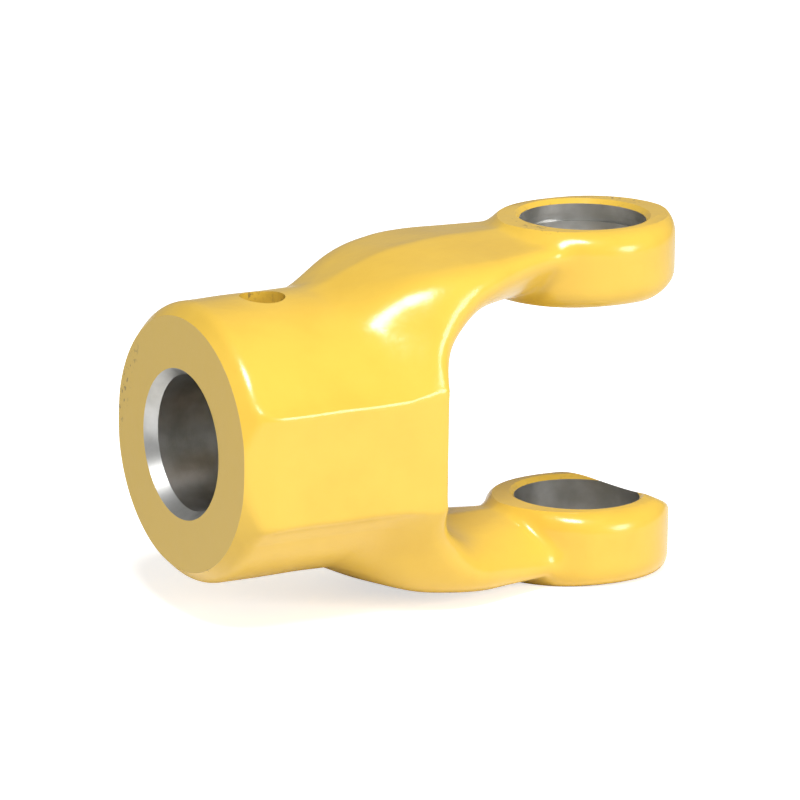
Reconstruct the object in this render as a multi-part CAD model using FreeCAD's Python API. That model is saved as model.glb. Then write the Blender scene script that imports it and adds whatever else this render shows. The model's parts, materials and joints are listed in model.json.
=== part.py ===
import FreeCAD, Part
import math
import os

# Forged yoke of a farm drive shaft: a bored hub that carries a fork of two arms, each ending in
# an eye for one cup of a universal-joint cross.  Lengths in millimetres, angles in degrees.
# Frame: +X along the hub towards the eyes, +Z along the eyes' bores, +Y across the fork.  The die
# parting plane is Y = 0.  The features are placed from the centre of the hub's end face, and the
# finished part is moved so that its origin is the joint's centre, between the eyes.

# Hub
hub_od = 61.5              # forged barrel
hub_bevel_drop = 2.75      # the end bevel narrows the barrel by this much all round
hub_bevel_len = 3.0        # length of that bevel along the axis
hub_bore_d = 30.0
bore_mouth_step = 1.6      # the bore's lead-in opens it by this much all round
bore_mouth_len = 2.7
pin_hole_d = 10.0          # cross hole for the shaft's locking pin
pin_hole_x = 19.8
pads_over = 60.0           # across the two flat side pads
pad_width = 23.6           # flat part of a pad, along Z
pad_step_run = 1.7         # the pad's edge slopes down over this much of Z
pad_start = 7.3            # where the end bevel has run out to the pad

# Fork
joint_x = 101.0            # hub face to the joint's centre
eyes_over = 80.4           # over the outer faces of the eyes
eyes_gap = 46.4            # between their inner faces
draft_deg = 7.0            # die draft, away from the parting plane
throat_x = 53.5            # bottom of the throat at the parting plane
throat_radius = 14.0       # corner of the throat at the parting plane
arm_inside_z = 24.3        # inner side of an arm at the parting plane
arm_end = 11.0             # the arms run into the eyes to this far short of the joint's centre

# Eyes
eye_od = 41.0
eye_corner_r = 2.4         # rounded corner between an eye's side and its flat rings
eye_corner_bands = 3       # the corner is turned in this many bands
ring_width_y = 33.0        # the rings' flat runs out to this across the fork, where draft begins
eye_bore_d = 28.0
eye_mouth_chamfer = 1.0    # at both ends of an eye's bore
ring_groove_cut = 0.9      # the snap-ring groove is this much deeper than the bore's wall
ring_groove_w = 1.7
ring_groove_depth = 3.2    # below the eye's outer face
relief_x = 10.6            # swing relief starts this far beyond the bore axis
relief_deg = 26.0          # its slope against the eye's inner face
relief_skew_deg = 10.8     # its edge runs this far off square, the same way round on both eyes

# Arm stations along X: crest height, half width of the crest, then half width and height of
# the shoulder's foot, and half widths of the flank at flank_z and at arm_floor_z.
arm_stations = [
    (30.0, 29.0, 3.0, 9.0, 25.5, 12.0, 12.0),
    (37.0, 32.4, 6.5, 17.0, 25.5, 18.5, 20.5),
    (46.0, 36.4, 12.0, 22.5, 27.5, 25.0, 29.0),
    (56.0, 38.7, 16.5, 23.8, 30.0, 25.6, 29.0),
    (66.0, 39.4, 18.0, 21.8, 31.5, 17.5, 19.0),
    (77.0, 39.4, 16.2, 17.7, 33.5, 9.5, 8.0),
    (joint_x - arm_end, 39.2, 13.5, 15.2, 34.0, 6.5, 5.0),
]
flank_z = 21.0
arm_floor_z = 8.0          # the arm's blank reaches down to here, inside the hub

draft = math.tan(math.radians(draft_deg))
far = 150.0                # longer than any cut needs


def vec(x, y, z):
    return FreeCAD.Vector(x, y, z)


def solid_between(wires, ruled):
    return Part.makeLoft(wires, True, ruled)


def disc(d, length, origin, axis):
    return Part.makeCylinder(d / 2, length, origin, axis)


def hub_blank():
    """Barrel with two flat side pads, its front end turned to a bevel."""
    length = throat_x + throat_radius
    flats = Part.makeBox(length, pads_over, hub_od, vec(0, -pads_over / 2, -hub_od / 2))
    hub = disc(hub_od, length, vec(0, 0, 0), vec(1, 0, 0)).common(flats)
    top = pad_width / 2
    foot = top + pad_step_run
    foot_y = math.sqrt(hub_od ** 2 / 4 - foot ** 2)
    for side in (1, -1):
        corners = [vec(0, 0, -foot), vec(0, side * foot_y, -foot), vec(0, side * pads_over / 2, -top),
                   vec(0, side * pads_over / 2, top), vec(0, side * foot_y, foot), vec(0, 0, foot)]
        pad = Part.Face(Part.makePolygon(corners + corners[:1])).extrude(vec(length, 0, 0))
        hub = hub.fuse(pad)
    return hub.common(end_bevel(length)).removeSplitter()


def end_bevel(length):
    """Everything inside the turned bevel and inside the two bevels that run out onto the pads."""
    face_r = hub_od / 2 - hub_bevel_drop
    reach = hub_od
    slope = hub_bevel_drop / hub_bevel_len
    cone = [vec(0, 0, 0), vec(0, 0, face_r), vec(reach - face_r, 0, face_r + slope * (reach - face_r)),
            vec(length, 0, face_r + slope * (reach - face_r)), vec(length, 0, 0)]
    turned = Part.Face(Part.makePolygon(cone + cone[:1])).revolve(vec(0, 0, 0), vec(1, 0, 0), 360)
    rise = (pads_over / 2 - face_r) / pad_start
    wedge = [vec(0, -face_r, -reach), vec(0, face_r, -reach),
             vec(length, face_r + rise * length, -reach), vec(length, -face_r - rise * length, -reach)]
    return turned.common(Part.Face(Part.makePolygon(wedge + wedge[:1])).extrude(vec(0, 0, 2 * reach)))


def arm_section(x, crest_z, crest_w, foot_w, foot_z, flank_w, floor_w):
    """Cross-section of an arm: two drafted crest facets, round shoulders, flanks that lean in."""
    edge_z = crest_z - draft * crest_w
    bulge = math.sqrt(0.5)
    mid_w = crest_w + (foot_w - crest_w) * bulge
    mid_z = foot_z + (edge_z - foot_z) * bulge

    def half(side):
        return [vec(x, 0, crest_z), vec(x, side * crest_w, edge_z), vec(x, side * mid_w, mid_z),
                vec(x, side * foot_w, foot_z), vec(x, side * flank_w, flank_z),
                vec(x, side * floor_w, arm_floor_z)]
    r, l = half(1), half(-1)
    edges = [Part.LineSegment(r[0], r[1]), Part.Arc(r[1], r[2], r[3]), Part.LineSegment(r[3], r[4]),
             Part.LineSegment(r[4], r[5]), Part.LineSegment(r[5], l[5]), Part.LineSegment(l[5], l[4]),
             Part.LineSegment(l[4], l[3]), Part.Arc(l[3], l[2], l[1]), Part.LineSegment(l[1], l[0])]
    return Part.Wire([e.toShape() for e in edges])


def arm_blank():
    return solid_between([arm_section(*s) for s in arm_stations], False)


def throat_wire(y):
    """Outline of the gap between the arms at a distance y from the parting plane."""
    d = draft * abs(y)
    xb = throat_x - d
    z = arm_inside_z + d
    r = throat_radius + d
    k = r * (1 - math.sqrt(0.5))
    pts = [(far, -z), (xb + r, -z), (xb + k, -z + k), (xb, -z + r),
           (xb, z - r), (xb + k, z - k), (xb + r, z), (far, z)]
    p = [vec(a, y, b) for a, b in pts]
    edges = [Part.LineSegment(p[0], p[1]), Part.Arc(p[1], p[2], p[3]), Part.LineSegment(p[3], p[4]),
             Part.Arc(p[4], p[5], p[6]), Part.LineSegment(p[6], p[7]), Part.LineSegment(p[7], p[0])]
    return Part.Wire([e.toShape() for e in edges])


def throat_gap():
    reach = hub_od
    halves = [solid_between([throat_wire(0), throat_wire(side * reach)], True) for side in (1, -1)]
    return halves[0].fuse(halves[1])


def eye_profile(lo, hi):
    """Half section of an eye about its bore's axis, from height lo to hi, its corners in bands."""
    ring_r = eye_od / 2 - eye_corner_r
    steps = [math.radians(90 * k / eye_corner_bands) for k in range(eye_corner_bands + 1)]
    corner = [(ring_r + eye_corner_r * math.sin(a), eye_corner_r * (1 - math.cos(a))) for a in steps]
    pts = [vec(0, 0, lo), vec(0, 0, hi)] + [vec(r, 0, hi - drop) for r, drop in corner]
    pts += [vec(r, 0, lo + drop) for r, drop in reversed(corner)]
    return Part.Face(Part.makePolygon(pts + pts[:1]))


def eye_blank():
    """One upper eye: a short barrel with a flat ring on each side, its faces drafted like the arms."""
    lo, hi = eyes_gap / 2, eyes_over / 2
    eye = eye_profile(lo, hi).revolve(vec(0, 0, 0), vec(0, 0, 1), 360)
    flat = ring_width_y / 2
    far_y = eye_od
    fall = draft * (far_y - flat)
    roof = [vec(-far_y, -flat, lo), vec(-far_y, flat, lo), vec(-far_y, far_y, lo + fall),
            vec(-far_y, far_y, hi - fall), vec(-far_y, flat, hi), vec(-far_y, -flat, hi),
            vec(-far_y, -far_y, hi - fall), vec(-far_y, -far_y, lo + fall)]
    eye = eye.common(Part.Face(Part.makePolygon(roof + roof[:1])).extrude(vec(2 * far_y, 0, 0)))
    eye.translate(vec(joint_x, 0, 0))
    return eye


def swing_relief():
    """Slope cut off the inner tip of an eye, so that the other yoke can swing past."""
    lo = eyes_gap / 2
    rise = math.tan(math.radians(relief_deg)) * eye_od
    corners = [vec(relief_x, -eye_od, lo - eye_od), vec(relief_x, -eye_od, lo),
               vec(relief_x + eye_od, -eye_od, lo + rise), vec(relief_x + eye_od, -eye_od, lo - eye_od)]
    cut = Part.Face(Part.makePolygon(corners + corners[:1])).extrude(vec(0, 2 * eye_od, 0))
    cut.rotate(vec(relief_x, 0, 0), vec(0, 0, 1), -relief_skew_deg)
    cut.translate(vec(joint_x, 0, 0))
    return cut


def mouth_cone(bore_d, step, length, origin, axis):
    """Cutter for a bore's mouth: wider than the bore by step all round, narrowing over length."""
    return Part.makeCone(bore_d / 2 + step, bore_d / 2, length, origin, axis)


def hub_holes():
    start, along = vec(0, 0, 0), vec(1, 0, 0)
    bore = disc(hub_bore_d, far, start, along)
    mouth = mouth_cone(hub_bore_d, bore_mouth_step, bore_mouth_len, start, along)
    pin = disc(pin_hole_d, hub_od, vec(pin_hole_x, 0, -hub_od / 2), vec(0, 0, 1))
    return [bore, mouth, pin]


def eye_holes():
    """Bore of the upper eye with its two mouths and its snap-ring groove."""
    lo, hi = eyes_gap / 2, eyes_over / 2
    up, down = vec(0, 0, 1), vec(0, 0, -1)
    bore = disc(eye_bore_d, hi, vec(joint_x, 0, 0), up)
    outer = mouth_cone(eye_bore_d, eye_mouth_chamfer, eye_mouth_chamfer, vec(joint_x, 0, hi), down)
    inner = mouth_cone(eye_bore_d, eye_mouth_chamfer, eye_mouth_chamfer, vec(joint_x, 0, lo), up)
    groove_z = hi - ring_groove_depth - ring_groove_w
    groove = disc(eye_bore_d + 2 * ring_groove_cut, ring_groove_w, vec(joint_x, 0, groove_z), up)
    return [bore, outer, inner, groove]


def below(shape):
    """The same feature on the lower arm: half a turn about the hub's axis."""
    turned = shape.copy()
    turned.rotate(vec(0, 0, 0), vec(1, 0, 0), 180)
    return turned


def yoke():
    arm = arm_blank()
    blank = hub_blank().fuse([arm, below(arm)]).cut(throat_gap())
    eye = eye_blank().cut(swing_relief())
    blank = blank.fuse([eye, below(eye)])
    cuts = hub_holes() + eye_holes() + [below(c) for c in eye_holes()]
    part = blank.cut(cuts).removeSplitter()
    part.translate(vec(-joint_x, 0, 0))
    return part


os.makedirs("parts", exist_ok=True)
forged_yoke = yoke()
print("solids", len(forged_yoke.Solids), "valid", forged_yoke.isValid(), "volume", round(forged_yoke.Volume),
      "faces", len(forged_yoke.Faces))
forged_yoke.exportStep("parts/forged_yoke.step")
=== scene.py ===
import json
import math
import bmesh
import bpy
import numpy as np
from mathutils import Matrix, Vector


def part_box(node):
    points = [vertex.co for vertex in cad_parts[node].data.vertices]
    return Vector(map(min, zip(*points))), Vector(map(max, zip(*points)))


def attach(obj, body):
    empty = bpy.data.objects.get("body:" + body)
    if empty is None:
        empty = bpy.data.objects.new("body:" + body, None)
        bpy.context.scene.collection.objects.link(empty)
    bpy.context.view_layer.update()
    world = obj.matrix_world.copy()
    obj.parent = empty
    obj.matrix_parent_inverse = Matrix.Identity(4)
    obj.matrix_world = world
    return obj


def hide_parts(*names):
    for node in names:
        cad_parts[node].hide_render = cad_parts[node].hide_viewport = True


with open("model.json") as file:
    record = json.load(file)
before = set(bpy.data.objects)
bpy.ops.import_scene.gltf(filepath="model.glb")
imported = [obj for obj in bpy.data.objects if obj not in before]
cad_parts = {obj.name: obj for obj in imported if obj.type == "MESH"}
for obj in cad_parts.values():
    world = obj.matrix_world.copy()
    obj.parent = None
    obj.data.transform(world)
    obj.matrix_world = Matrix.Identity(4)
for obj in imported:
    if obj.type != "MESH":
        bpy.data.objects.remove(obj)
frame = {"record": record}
scene = bpy.context.scene
scene.view_settings.view_transform = "Standard"


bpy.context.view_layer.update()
lo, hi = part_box("forged_yoke")
HUB_END = lo.x                    # plane of the hub's end face
RECORD = frame["record"]
COLOURS = {m["slot"]: tuple(m["base_color"]) + (1.0,) for m in RECORD["materials"]}


# ---------------------------------------------------------------- stage, light and camera

def studio_world():
    """A plain grey dome that lights the part, and that the camera sees as white."""
    world = bpy.data.worlds.new("studio")
    scene.world = world
    world.use_nodes = True
    nodes, links = world.node_tree.nodes, world.node_tree.links
    nodes.clear()
    path = nodes.new("ShaderNodeLightPath")
    lit = nodes.new("ShaderNodeBackground")
    lit.inputs["Strength"].default_value = 0.30
    seen = nodes.new("ShaderNodeBackground")
    seen.inputs["Strength"].default_value = 1.0
    for background in (lit, seen):
        background.inputs["Color"].default_value = (1.0, 1.0, 1.0, 1.0)
    mix = nodes.new("ShaderNodeMixShader")
    out = nodes.new("ShaderNodeOutputWorld")
    links.new(path.outputs["Is Camera Ray"], mix.inputs[0])
    links.new(lit.outputs[0], mix.inputs[1])
    links.new(seen.outputs[0], mix.inputs[2])
    links.new(mix.outputs[0], out.inputs["Surface"])


def area_lamp(name, place, aim, size, power):
    data = bpy.data.lights.new(name, "AREA")
    data.shape = "DISK"
    data.size = size
    data.energy = power
    lamp = bpy.data.objects.new(name, data)
    scene.collection.objects.link(lamp)
    lamp.location = place
    lamp.rotation_euler = (Vector(aim) - Vector(place)).to_track_quat("-Z", "Y").to_euler()


def studio_floor():
    """Pale paper under the part, with a plain glow of its own where the camera sees it."""
    mesh = bpy.data.meshes.new("floor")
    reach = 6.0
    mesh.from_pydata([(-reach, -reach, 0), (reach, -reach, 0), (reach, reach, 0), (-reach, reach, 0)],
                     [], [(0, 1, 2, 3)])
    floor = bpy.data.objects.new("floor", mesh)
    floor.location = (0, 0, lo.z)
    scene.collection.objects.link(floor)
    paper = bpy.data.materials.new("white_paper")
    paper.use_nodes = True
    shader = paper.node_tree.nodes["Principled BSDF"]
    shader.inputs["Base Color"].default_value = (0.93, 0.93, 0.93, 1)
    shader.inputs["Roughness"].default_value = 0.9
    tree = paper.node_tree
    path = tree.nodes.new("ShaderNodeLightPath")
    glow = tree.nodes.new("ShaderNodeEmission")
    glow.inputs["Color"].default_value = (1.0, 1.0, 1.0, 1)
    glow.inputs["Strength"].default_value = 0.62
    plus = tree.nodes.new("ShaderNodeAddShader")
    pick = tree.nodes.new("ShaderNodeMixShader")
    tree.links.new(shader.outputs[0], plus.inputs[0])
    tree.links.new(glow.outputs[0], plus.inputs[1])
    tree.links.new(path.outputs["Is Camera Ray"], pick.inputs[0])
    tree.links.new(shader.outputs[0], pick.inputs[1])
    tree.links.new(plus.outputs[0], pick.inputs[2])
    tree.links.new(pick.outputs[0], tree.nodes["Material Output"].inputs["Surface"])
    mesh.materials.append(paper)


def camera_at(place, target, roll_deg, lens, shift):
    data = bpy.data.cameras.new("camera")
    data.lens = lens
    data.sensor_width = 36.0
    data.shift_x, data.shift_y = shift
    data.clip_start, data.clip_end = 0.1, 50.0
    camera = bpy.data.objects.new("camera", data)
    scene.collection.objects.link(camera)
    turn = (Vector(target) - Vector(place)).to_track_quat("-Z", "Y").to_matrix()
    turn = turn @ Matrix.Rotation(math.radians(roll_deg), 3, "Z")
    camera.matrix_world = Matrix.Translation(place) @ turn.to_4x4()
    scene.camera = camera


def from_hub(x, y, z):
    """A point given in millimetres from the centre of the hub's end face."""
    return Vector((HUB_END + x / 1000, y / 1000, z / 1000))


studio_world()
studio_floor()
camera_at(from_hub(-886.26, -1577.05, 486.77), from_hub(53.03, 1.497, 1.057), 0.9485, 390.7,
          (0.0137, 0.0117))
area_lamp("key", from_hub(-350, -700, 1300), from_hub(50, 0, 0), 0.55, 26)
area_lamp("side", from_hub(900, -1500, 500), from_hub(50, 0, 0), 0.7, 16)

# ---------------------------------------------------------------- the forging, as a distance field
# All sizes in millimetres, x from the hub's end face, z up, y across the fork.

HUB_R = 30.75
BEVEL_DROP, BEVEL_LEN = 2.75, 3.0
BORE_R, BORE_MOUTH, BORE_MOUTH_LEN = 15.0, 1.6, 2.7
PIN_R, PIN_X = 5.0, 19.8
PAD_Y, PAD_TOP, PAD_BOTTOM, PAD_SIDE_SLOPE = 30.0, 11.8, -13.0, 1.35
PAD_START = 7.3
PAD_DEPTH = 16.0                  # a pad's stepped edges have run into the barrel by this height
JOINT_X = 101.0
EYE_R, EYE_ROUND = 20.5, 5.0
EYE_OUT, EYE_IN = 40.2, 23.2
RING_HALF_Y = 16.6
EYE_BORE_R, EYE_MOUTH = 14.0, 1.0
GROOVE_R, GROOVE_LOW, GROOVE_HIGH = 14.9, 35.3, 37.0
THROAT_X, THROAT_R, ARM_INSIDE = 53.5, 14.0, 24.3
GRID = 0.8                        # cell of the grid that the forging is meshed on
DRAFT = math.tan(math.radians(7.0))
SHORT_WAVES, LONG_WAVES = 0.10, 0.07      # height of the forged skin's unevenness
MESH_LOWS, MESH_HIGHS = (-3, -34.5, -44.5), (124.5, 34.5, 44.5)
SHARP_ANGLE = math.radians(24)            # machined edges turn by more than this
RELIEF_X, RELIEF_SLOPE, RELIEF_SKEW = 10.6, math.radians(26.0), math.radians(10.8)

# Arm stations: x, crest height, half width of the crest, half width and height of the
# shoulder's foot, half width of the flank at z = 21.
FLANK_Z = 21.0
SHOULDER_BULGE = 0.414            # how far a quarter round stands out from its chord
FLANK_REACH, ARM_FLOOR = 28.4, 9.0        # the arm's blank ends here, inside the hub and its pads
ARM = np.array([
    (26.0, 26.6, 1.5, 6.0, 24.5, 9.0),
    (30.0, 29.5, 3.0, 9.0, 25.5, 12.5),
    (36.5, 32.5, 6.0, 16.5, 26.0, 18.5),
    (44.0, 35.7, 11.0, 21.5, 27.0, 24.0),
    (50.0, 37.5, 14.5, 23.5, 28.5, 26.8),
    (57.0, 38.6, 17.0, 24.0, 30.0, 25.8),
    (65.0, 39.2, 18.5, 22.4, 31.5, 18.8),
    (74.0, 39.2, 17.3, 19.2, 33.0, 11.8),
    (82.0, 39.2, 15.3, 16.8, 34.0, 7.8),
    (92.0, 39.2, 13.7, 15.5, 34.0, 6.8),
])


def smax(a, b, k):
    """Larger of two fields, rounded over a width k where they meet."""
    h = np.maximum(k - np.abs(a - b), 0.0) / k
    return np.maximum(a, b) + h * h * k / 4


def smin(a, b, k):
    return -smax(-a, -b, k)


def ease(a, lo_edge, hi_edge):
    t = np.clip((a - lo_edge) / (hi_edge - lo_edge), 0.0, 1.0)
    return t * t * (3 - 2 * t)


def smooth_table(table, step=0.25):
    """The stations joined by cubic curves, sampled finely for np.interp."""
    xs = np.arange(table[0, 0], table[-1, 0] + step / 2, step)
    knots = table[:, 0]
    slopes = np.gradient(table, knots, axis=0)
    i = np.clip(np.searchsorted(knots, xs) - 1, 0, len(knots) - 2)
    gap = (knots[i + 1] - knots[i])[:, None]
    t = ((xs - knots[i])[:, None]) / gap
    curve = ((2 * t ** 3 - 3 * t ** 2 + 1) * table[i] + (t ** 3 - 2 * t ** 2 + t) * gap * slopes[i]
             + (3 * t ** 2 - 2 * t ** 3) * table[i + 1] + (t ** 3 - t ** 2) * gap * slopes[i + 1])
    curve[:, 0] = xs
    return curve


ARM_CURVE = smooth_table(ARM)


def hub_field(x, y, z):
    barrel = np.sqrt(y * y + z * z) - HUB_R
    side = np.abs(y) - PAD_Y
    upward = np.where(y < 0, z, -z)          # each pad is the other one after half a turn
    drop = (PAD_Y - np.abs(y)) / PAD_SIDE_SLOPE
    lean = math.hypot(1.0, 1.0 / PAD_SIDE_SLOPE)
    above = (upward - PAD_TOP - drop) / lean
    under = (PAD_BOTTOM - upward - drop) / lean
    barrel = smax(barrel, side, 0.6)
    pad = np.maximum(smax(smax(side, above, 0.9), under, 0.9), np.abs(z) - PAD_DEPTH)
    body = smin(barrel, pad, 1.4)
    bevel = (np.sqrt(y * y + z * z) - (HUB_R - BEVEL_DROP) - x * BEVEL_DROP / BEVEL_LEN)
    bevel = bevel / math.hypot(1.0, BEVEL_DROP / BEVEL_LEN)
    rise = (PAD_Y - (HUB_R - BEVEL_DROP)) / PAD_START
    wedge = (np.abs(y) - (HUB_R - BEVEL_DROP) - x * rise) / math.hypot(1.0, rise)
    body = smax(smax(body, bevel, 1.2), wedge, 0.8)
    return np.maximum(np.maximum(body, x - THROAT_X - 5), -1.0 - x)


def arm_section(x, y, z):
    """Upper arm: two drafted crest facets, round shoulders and leaning flanks."""
    crest, crest_w, foot_w, foot_z, flank_w = (np.interp(x, ARM_CURVE[:, 0], ARM_CURVE[:, c])
                                               for c in range(1, 6))
    across = np.abs(y)
    edge_z = crest - DRAFT * crest_w
    roof = ((z - crest) + DRAFT * np.sqrt(across ** 2 + 0.3)) / math.hypot(1.0, DRAFT)
    a, b = foot_w - crest_w, edge_z - foot_z
    length = np.hypot(a, b)
    shoulder = ((across - crest_w) * b + (z - edge_z) * a) / length - SHOULDER_BULGE * a * b / length
    a, b = flank_w - foot_w, foot_z - FLANK_Z
    flank = ((across - foot_w) * b + (z - foot_z) * a) / np.hypot(a, b)
    side = smax(smax(roof, shoulder, 2.6), flank, 3.0)
    return np.maximum(smax(side, across - FLANK_REACH, 2.0), ARM_FLOOR - z)


def arm_field(x, y, z):
    here = arm_section(x, y, z)
    slope = (arm_section(x + 0.5, y, z) - arm_section(x - 0.5, y, z))
    return here / np.sqrt(1 + slope ** 2)


def throat_field(x, y, z):
    """Negative in the gap between the arms."""
    d = DRAFT * np.abs(y)
    r = THROAT_R + d
    qx = THROAT_X - d + r - x
    qz = np.abs(z) - (ARM_INSIDE + d - r)
    outside = np.sqrt(np.maximum(qx, 0) ** 2 + np.maximum(qz, 0) ** 2)
    return (outside + np.minimum(np.maximum(qx, qz), 0) - r) / math.hypot(1.0, DRAFT)


def eye_field(x, y, z):
    u = x - JOINT_X
    side = np.hypot(u, y) - EYE_R
    fall = DRAFT * (np.abs(y) - RING_HALF_Y)
    top = (z - EYE_OUT + fall)
    under = (EYE_IN - z + fall)
    return smax(smax(side, top, EYE_ROUND), under, EYE_ROUND)


def relief_field(x, y, z):
    """Negative in the slope cut off the inner tip of the upper eye."""
    u = (x - JOINT_X) * math.cos(RELIEF_SKEW) - y * math.sin(RELIEF_SKEW) - RELIEF_X
    return (z - EYE_IN) * math.cos(RELIEF_SLOPE) - u * math.sin(RELIEF_SLOPE)


def forged_unevenness(x, y, z):
    """Slow, slight waves of a hammered skin."""
    short = (np.sin(x / 4.3 + 1.3 * np.sin(y / 6.1)) * np.sin(y / 5.2 + 0.7)
             * np.sin(z / 4.9 + 1.9 * np.sin(x / 9.0)))
    long = np.sin(x / 9.7 - 0.4) * np.sin(z / 8.3 + y / 11.0)
    return SHORT_WAVES * short + LONG_WAVES * long


def half_fork(x, y, z, hub):
    arm = arm_field(x, y, z)
    soft = 1.0 + 4.0 * ease(np.abs(y), 6.0, 19.0)
    arm = np.maximum(np.maximum(arm, x - JOINT_X), ARM[0, 0] - x)
    return smin(hub, np.where(z > 0, arm, 50.0), soft)


def blank_field(x, y, z):
    hub = hub_field(x, y, z)
    body = np.minimum(half_fork(x, y, z, hub), half_fork(x, -y, -z, hub))
    body = body + forged_unevenness(x, y, z) * ease(x, 4.0, 14.0) * ease(np.sqrt(y * y + z * z) - 28, 0, 2)
    body = smax(body, np.abs(y) - PAD_Y, 0.4)
    edge = 1.2 + 5.0 * ease(np.abs(z), 12.0, 22.0)
    body = smax(body, -throat_field(x, y, z), edge)
    for turn in (1, -1):
        eye = smax(eye_field(x, turn * y, turn * z), -relief_field(x, turn * y, turn * z), 1.2)
        body = smin(body, eye, 2.2)
    return body


def surface_of(field, lows, highs, step):
    """Quad mesh of a field's zero surface: one vertex in every crossed cell, then pulled onto it."""
    axes = [np.arange(a, b + step, step) for a, b in zip(lows, highs)]
    n = [len(a) for a in axes]
    value = np.empty(n, np.float32)
    for i, x in enumerate(axes[0]):
        yy, zz = np.meshgrid(axes[1], axes[2], indexing="ij")
        value[i] = field(np.full_like(yy, x), yy, zz)
    inside = value < 0
    cells = tuple(k - 1 for k in n)
    total = np.zeros(cells + (3,), np.float32)
    count = np.zeros(cells, np.int32)
    corner = [(a, b, c) for a in (0, 1) for b in (0, 1) for c in (0, 1)]

    def part(array, at):
        return array[at[0]:at[0] + cells[0], at[1]:at[1] + cells[1], at[2]:at[2] + cells[2]]
    for p in corner:
        for axis in range(3):
            if p[axis]:
                continue
            q = tuple(p[d] + (d == axis) for d in range(3))
            va, vb = part(value, p), part(value, q)
            cross = part(inside, p) != part(inside, q)
            t = np.where(cross, va / np.where(cross, va - vb, 1), 0)
            for d in range(3):
                total[..., d] += np.where(cross, p[d] + (t if d == axis else 0), 0)
            count += cross
    active = count > 0
    index = np.full(cells, -1, np.int64)
    index[active] = np.arange(active.sum())
    where = np.argwhere(active)
    points = np.array(lows) + step * (where + total[active] / count[active][:, None])
    quads = []
    for axis in range(3):
        u, v = (axis + 1) % 3, (axis + 2) % 3
        span = [slice(1, k - 1) for k in n]
        span[axis] = slice(0, n[axis] - 1)
        start = inside[tuple(span)]
        ahead = list(span)
        ahead[axis] = slice(1, n[axis])
        end = inside[tuple(ahead)]
        for flip in (False, True):
            at = np.argwhere((~start & end) if flip else (start & ~end))
            at[:, u] += 1
            at[:, v] += 1
            ring = []
            for du, dv in ((1, 1), (0, 1), (0, 0), (1, 0)):
                c = at.copy()
                c[:, u] -= du
                c[:, v] -= dv
                ring.append(index[c[:, 0], c[:, 1], c[:, 2]])
            ring = np.stack(ring, 1)
            quads.append(ring[:, ::-1] if flip else ring)
    quads = np.concatenate(quads)
    for _ in range(4):
        f = field(*points.T)
        e = 0.05
        g = np.stack([(field(*(points + e * axis_step).T) - field(*(points - e * axis_step).T)) / (2 * e)
                      for axis_step in np.eye(3)], 1)
        move = (f / np.maximum((g * g).sum(1), 0.2))[:, None] * g
        points = points - np.clip(move, -step / 2, step / 2)
    return points, quads


# ---------------------------------------------------------------- machining

def turned_tool(name, profile, axis, segments=128):
    """Closed cutter revolved about +X or +Z through a profile of (radius, distance along)."""
    verts, faces = [], []
    n = len(profile)
    for s in range(segments):
        a = 2 * math.pi * s / segments
        for r, along in profile:
            c, d = r * math.cos(a), r * math.sin(a)
            verts.append((along, c, d) if axis == "X" else (c, d, along))
    for s in range(segments):
        t = (s + 1) % segments
        for k in range(n - 1):
            faces.append((s * n + k, t * n + k, t * n + k + 1, s * n + k + 1))
    faces.append(tuple(s * n for s in reversed(range(segments))))
    faces.append(tuple(s * n + n - 1 for s in range(segments)))
    return mesh_object(name, verts, faces)


def mesh_object(name, verts, faces):
    mesh = bpy.data.meshes.new(name)
    mesh.from_pydata([tuple(map(float, v)) for v in verts], [], [tuple(map(int, f)) for f in faces])
    work = bmesh.new()
    work.from_mesh(mesh)
    bmesh.ops.recalc_face_normals(work, faces=work.faces)
    work.to_mesh(mesh)
    work.free()
    made = bpy.data.objects.new(name, mesh)
    scene.collection.objects.link(made)
    return made


def block_tool(name, lows, highs):
    """Closed box cutter."""
    xs, ys, zs = zip(lows, highs)
    corners = [(x, y, z) for x in xs for y in ys for z in zs]
    faces = [(0, 1, 3, 2), (4, 6, 7, 5), (0, 4, 5, 1), (2, 3, 7, 6), (0, 2, 6, 4), (1, 5, 7, 3)]
    return mesh_object(name, corners, faces)


def cut_away(body, tool):
    """Takes the tool's shape out of the body for good, and removes the tool."""
    cut = body.modifiers.new("cut", "BOOLEAN")
    cut.operation = "DIFFERENCE"
    cut.solver = "MANIFOLD"
    cut.object = tool
    done = bpy.data.meshes.new_from_object(body.evaluated_get(bpy.context.evaluated_depsgraph_get()))
    body.modifiers.remove(cut)
    old = body.data
    body.data = done
    bpy.data.meshes.remove(old)
    bpy.data.objects.remove(tool)


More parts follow.
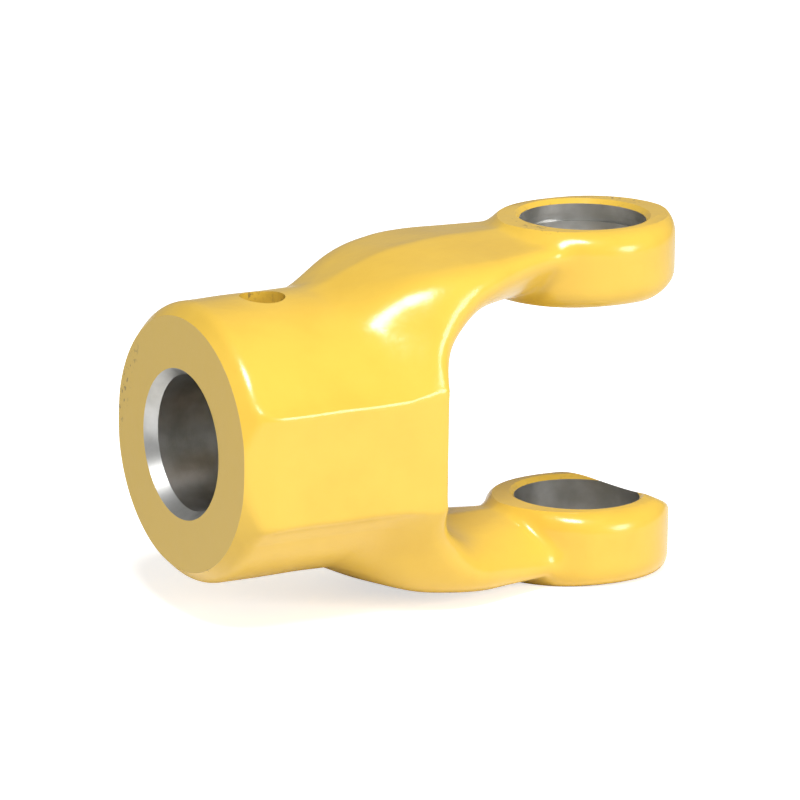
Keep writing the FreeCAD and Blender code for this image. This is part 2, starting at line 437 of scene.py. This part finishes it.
def machine(body):
    """Faces the hub's end and the eyes, then bores the hub, the pin hole and the eyes."""
    reach = 60.0
    cut_away(body, block_tool("end_facing", (-9, -reach, -reach), (0, reach, reach)))
    eye_start = JOINT_X - EYE_R - 3
    cut_away(body, block_tool("gap_facing", (eye_start, -reach, -EYE_IN), (JOINT_X + reach, reach, EYE_IN)))
    for side in (1, -1):
        low, high = sorted((side * EYE_OUT, side * (EYE_OUT + 9)))
        cut_away(body, block_tool("ring_facing", (eye_start - 9, -reach, low), (JOINT_X + reach, reach, high)))
    past = 3.0
    flare = BORE_R + BORE_MOUTH * (1 + past / BORE_MOUTH_LEN)
    cut_away(body, turned_tool("shaft_bore", [(flare, -past), (BORE_R, BORE_MOUTH_LEN), (BORE_R, 62.0)], "X"))
    pin = turned_tool("pin_hole", [(PIN_R, -36.0), (PIN_R, 36.0)], "Z", 64)
    pin.location = (PIN_X, 0, 0)
    cut_away(body, pin)
    for side in (1, -1):
        m = EYE_MOUTH
        profile = [(EYE_BORE_R + 3 * m, EYE_IN - 2 * m), (EYE_BORE_R, EYE_IN + m), (EYE_BORE_R, GROOVE_LOW),
                   (GROOVE_R, GROOVE_LOW), (GROOVE_R, GROOVE_HIGH), (EYE_BORE_R, GROOVE_HIGH),
                   (EYE_BORE_R, EYE_OUT - m), (EYE_BORE_R + 3 * m, EYE_OUT + 2 * m)]
        tool = turned_tool("cup_bore", [(r, side * a) for r, a in profile], "Z")
        tool.location = (JOINT_X, 0, 0)
        cut_away(body, tool)


# ---------------------------------------------------------------- the part

step = GRID
points, quads = surface_of(blank_field, MESH_LOWS, MESH_HIGHS, step)
yoke = mesh_object("yellow_yoke", points, quads)
machine(yoke)
yoke.data.transform(Matrix.Translation((HUB_END, 0, 0)) @ Matrix.Scale(0.001, 4))
print("triangles", sum(len(p.vertices) - 2 for p in yoke.data.polygons))

class Sock:
    """A shader value: the usual operators add Math nodes."""

    def __init__(self, tree, link):
        self.tree, self.link = tree, link

    def math(self, operation, *others):
        made = self.tree.nodes.new("ShaderNodeMath")
        made.operation = operation
        for socket, given in zip(made.inputs, (self,) + others):
            plug(self.tree, socket, given)
        return Sock(self.tree, made.outputs[0])

    def __add__(self, other):
        return self.math("ADD", other)

    def __sub__(self, other):
        return self.math("SUBTRACT", other)

    def __mul__(self, other):
        return self.math("MULTIPLY", other)

    def __rsub__(self, other):
        return (self * -1) + other

    __radd__, __rmul__ = __add__, __mul__

    def between(self, low, high):
        """0 below low, 1 above high, eased between."""
        made = self.tree.nodes.new("ShaderNodeMapRange")
        made.interpolation_type = "SMOOTHSTEP"
        for name, given in (("Value", self), ("From Min", low), ("From Max", high)):
            plug(self.tree, made.inputs[name], given)
        return Sock(self.tree, made.outputs["Result"])


def plug(tree, socket, given):
    if isinstance(given, Sock):
        tree.links.new(given.link, socket)
    elif given is not None:
        socket.default_value = given


class Finish:
    """A material whose nodes are added by name, each in one call."""

    def __init__(self, name):
        self.material = bpy.data.materials.new(name)
        self.material.use_nodes = True
        self.tree = self.material.node_tree
        self.shader = self.tree.nodes["Principled BSDF"]

    def add(self, kind, settings, inputs, output=0):
        made = self.tree.nodes.new("ShaderNode" + kind)
        for name, given in settings.items():
            setattr(made, name, given)
        for name, given in inputs.items():
            plug(self.tree, made.inputs[name], given)
        return Sock(self.tree, made.outputs[output])

    def noise(self, scale, detail=2.0):
        where = self.add("TexCoord", {}, {}, "Object")
        return self.add("TexNoise", {}, {"Vector": where, "Scale": scale, "Detail": detail}, 0)

    def blend(self, factor, first, second):
        made = self.tree.nodes.new("ShaderNodeMix")
        made.data_type = "RGBA"
        for socket, given in ((made.inputs[0], factor), (made.inputs[6], first), (made.inputs[7], second)):
            plug(self.tree, socket, given)
        return Sock(self.tree, made.outputs[2])

    def set(self, **inputs):
        for name, given in inputs.items():
            plug(self.tree, self.shader.inputs[name.replace("_", " ")], given)


def place_of(finish):
    split = finish.tree.nodes.new("ShaderNodeSeparateXYZ")
    where = finish.add("TexCoord", {}, {}, "Object")
    finish.tree.links.new(where.link, split.inputs[0])
    return [Sock(finish.tree, out) for out in split.outputs]


def yellow_paint():
    """Glossy enamel: a little thinner and browner on edges; on the turned face duller, and painted paler and
    greyer as painted light standing in for the light that falls on it.
    """
    f = Finish("yellow_paint")
    x = place_of(f)[0]
    base = tuple(c * s for c, s in zip(COLOURS["yellow_paint"], (1.0, 0.95, 0.75, 1)))
    deep = tuple(c * s for c, s in zip(base, (0.86, 0.80, 0.65, 1)))
    # painted light: a paler, greyer copy of the paint for the turned end face, standing in for how the light
    # falls on it
    lit_end_face_tone = tuple(c * s for c, s in zip(base, (0.84, 0.88, 1.3, 1)))
    patch = f.noise(60.0, 4.0).between(0.35, 0.7)
    colour = f.blend(patch * 0.35, base, deep)
    end = 1 - x.between(HUB_END + 0.00002, HUB_END + 0.00006)
    colour = f.blend(end, colour, lit_end_face_tone)
    wear = f.add("NewGeometry", {}, {}, "Pointiness").between(0.54, 0.60)
    specks = f.noise(900.0, 3.0).between(0.56, 0.66)
    colour = f.blend(wear * specks * 0.7, colour, (0.12, 0.09, 0.04, 1))
    peel = f.noise(420.0, 2.0)
    dents = f.noise(95.0, 2.0)
    height = peel * 0.35 + dents
    bump = f.add("Bump", {}, {"Strength": 0.22, "Distance": 0.0007, "Height": height}, "Normal")
    f.set(Base_Color=colour, Roughness=end * 0.25 + peel * 0.08 + 0.2, Normal=bump, Coat_Weight=0.15)
    f.shader.inputs["Coat Roughness"].default_value = 0.12
    f.shader.inputs["Specular IOR Level"].default_value = 0.38
    return f.material


def turned_steel():
    """Bored wall: fine turning rings around each bore's axis."""
    f = Finish("turned_steel")
    x, _, z = place_of(f)
    hub = 1 - x.between(HUB_END + 0.058, HUB_END + 0.062)
    along = f.blend(hub, z, x)
    rings = f.add("TexNoise", {"noise_dimensions": "1D"}, {"W": along, "Scale": 5200.0, "Detail": 3.0}, 0)
    cloud = f.noise(180.0, 3.0)
    tone = f.blend(cloud.between(0.3, 0.75), tuple(COLOURS["machined_steel"]), (0.42, 0.42, 0.40, 1))
    bump = f.add("Bump", {}, {"Strength": 0.25, "Distance": 0.00006, "Height": rings}, "Normal")
    f.set(Base_Color=tone, Roughness=0.30 + rings * 0.12, Normal=bump)
    f.shader.inputs["Metallic"].default_value = 1.0
    return f.material


yoke.data.materials.clear()
yoke.data.materials.append(yellow_paint())
yoke.data.materials.append(turned_steel())


def bare_faces(mesh):
    """Marks the bored walls, which carry no paint."""
    n = len(mesh.polygons)
    centre = np.empty(n * 3)
    mesh.polygons.foreach_get("center", centre)
    centre = centre.reshape(-1, 3) * 1000 - (HUB_END * 1000, 0, 0)
    x, y, z = centre.T
    hub_r = np.hypot(y, z)
    eye_r = np.hypot(x - JOINT_X, y)
    inside_hub = (hub_r < BORE_R + BORE_MOUTH) & (x < THROAT_X) & (x > 0.01)
    past_mouths = (np.abs(z) > EYE_IN + EYE_MOUTH) & (np.abs(z) < EYE_OUT - EYE_MOUTH)
    inside_eye = (eye_r < GROOVE_R + 0.05) & past_mouths
    mesh.polygons.foreach_set("material_index", (inside_hub | inside_eye).astype(np.int32))


bare_faces(yoke.data)
yoke.data.shade_smooth()
yoke.data.set_sharp_from_angle(angle=SHARP_ANGLE)
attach(yoke, "root")
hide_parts("forged_yoke")
